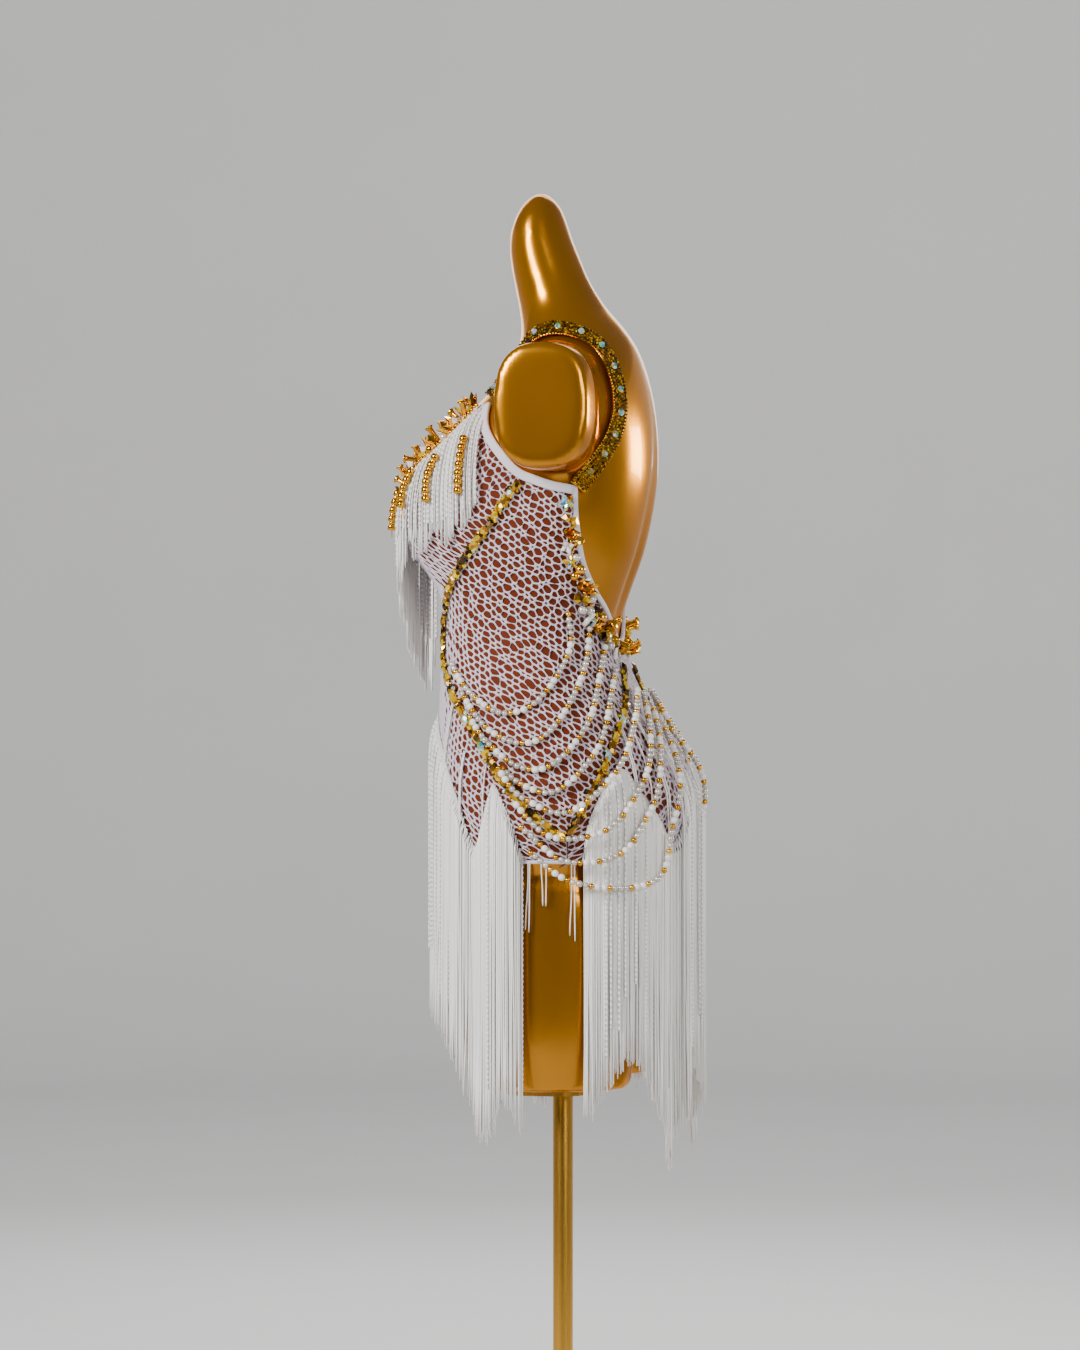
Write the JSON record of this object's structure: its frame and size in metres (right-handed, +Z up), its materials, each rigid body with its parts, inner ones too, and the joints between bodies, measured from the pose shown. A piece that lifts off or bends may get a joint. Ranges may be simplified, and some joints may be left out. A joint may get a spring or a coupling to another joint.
{
  "type": "latin dance dress on a dress form",
  "caption": "Fringed latin dance dress with pearl swags, stone seams and a low open back, worn by a limbless dress form on a pole and round base.",
  "frame": {"origin": "centre of the round base plate's underside, on the floor", "axes": "+Z up, -Y to the wearer's front, +X to the wearer's left"},
  "size_m": [0.374, 0.34, 1.46],
  "materials": {
    "form_gold": "satin gold paint",
    "stand_metal": "polished",
    "net": "open net over a red-brown lining",
    "elastic": "smooth elastic",
    "fringe": "silky cord",
    "gold_trim": "polished beads",
    "crystal": "faceted stones with a rainbow coating",
    "pearl": "pearl coating"
  },
  "bodies": {
    "root": {"form_body": "form_gold", "stand_plate": "stand_metal", "stand_pole": "stand_metal", "stand_base": "stand_metal", "front_panel": "net", "back_panel": "net", "side_panel_left": "net", "side_panel_right": "net", "gusset": "elastic", "armhole_binding_left": "elastic", "armhole_binding_right": "elastic", "back_binding": "elastic", "strap_left": "gold_trim", "strap_right": "gold_trim", "front_stone_line_left": "crystal", "front_stone_line_right": "crystal", "back_stone_line_left": "crystal", "back_stone_line_right": "crystal", "neck_beading_left": "gold_trim", "neck_beading_right": "gold_trim", "back_beading_left": "gold_trim", "back_beading_right": "gold_trim", "neck_fringe_left": "fringe", "neck_fringe_right": "fringe", "hip_fringe_front": "fringe", "hip_fringe_back": "fringe", "pearl_swag_1_left": "pearl", "pearl_swag_1_right": "pearl", "pearl_swag_2_left": "pearl", "pearl_swag_2_right": "pearl", "pearl_swag_3_left": "pearl", "pearl_swag_3_right": "pearl", "pearl_swag_4_left": "pearl", "pearl_swag_4_right": "pearl", "pearl_swag_5_left": "pearl", "pearl_swag_5_right": "pearl", "pearl_swag_6_left": "pearl", "pearl_swag_6_right": "pearl", "pearl_swag_7_left": "pearl", "pearl_swag_7_right": "pearl", "pearl_swag_8_left": "pearl", "pearl_swag_8_right": "pearl", "gold_string_1_left": "gold_trim", "gold_string_1_right": "gold_trim", "gold_string_2_left": "gold_trim", "gold_string_2_right": "gold_trim", "gold_string_3_left": "gold_trim", "gold_string_3_right": "gold_trim", "gold_string_4_left": "gold_trim", "gold_string_4_right": "gold_trim"}
  },
  "joints": []
}
